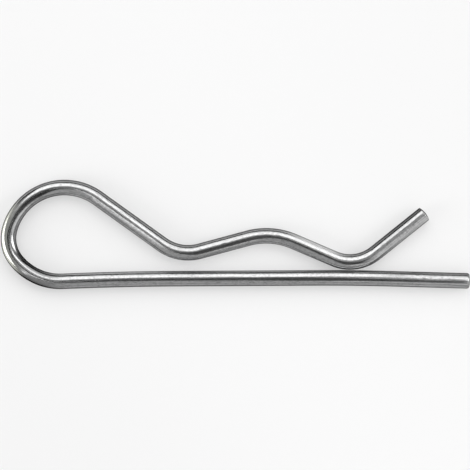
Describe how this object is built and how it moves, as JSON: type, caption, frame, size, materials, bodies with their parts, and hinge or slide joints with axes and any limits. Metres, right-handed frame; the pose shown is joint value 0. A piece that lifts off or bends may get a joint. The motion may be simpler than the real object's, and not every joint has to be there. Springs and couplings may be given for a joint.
{
  "type": "hitch r clip pin",
  "caption": "Bent spring wire clip pin with a straight leg for a shaft's cross hole, a looped eye to pull on, and a wavy leg that snaps round the shaft.",
  "frame": {"origin": "where the axis of the gripped shaft crosses the axis of the straight leg, under the seat, at the middle of the wire's thickness", "axes": "+X along the middle of the straight leg towards its free end, +Y towards the wavy leg, +Z square to the plane in which the wire is bent, up as the clip lies"},
  "size_m": [0.0908, 0.0215, 0.003],
  "materials": {
    "spring_wire": "bright plated spring steel wire, smooth, with faint drawing streaks along it"
  },
  "bodies": {
    "root": {"clip_wire": "spring_wire"}
  },
  "joints": []
}
